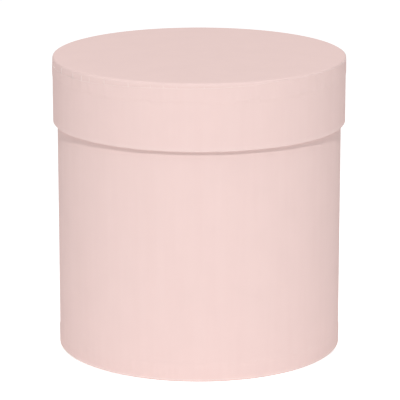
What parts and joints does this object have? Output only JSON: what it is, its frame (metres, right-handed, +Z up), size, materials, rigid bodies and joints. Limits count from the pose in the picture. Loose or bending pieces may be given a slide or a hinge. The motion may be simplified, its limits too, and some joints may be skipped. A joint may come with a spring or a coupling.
{
  "type": "flower box",
  "caption": "Round paper-covered board flower box with a loose lid that slips over its rim and lifts straight off.",
  "frame": {"origin": "centre of the face the closed box stands on", "axes": "+Z up along the box's axis, -Y towards the front, +X towards the right seen from the front; the paper's seams are at the back"},
  "size_m": [0.18, 0.18, 0.1825],
  "materials": {
    "pink_paper": "matt",
    "white_paper": "satin coated",
    "greyboard": "matt",
    "gummed_tape": "matt"
  },
  "bodies": {
    "box": {"base_cover": "pink_paper", "base_board": "greyboard", "body_tube": "greyboard", "body_joint_tape": "gummed_tape", "body_wrap": "pink_paper", "floor_lining": "white_paper", "body_lining": "white_paper"},
    "lid": {"lid_cover": "pink_paper", "lid_board": "greyboard", "lid_hoop": "greyboard", "lid_joint_tape": "gummed_tape", "lid_wrap": "pink_paper", "lid_lining_disc": "white_paper", "lid_lining_strip": "white_paper"}
  },
  "joints": [
    {"name": "lid_lift", "type": "slide", "parent": "box", "child": "lid", "axis": [0, 0, 1], "range_m": [0, 0.2]}
  ]
}
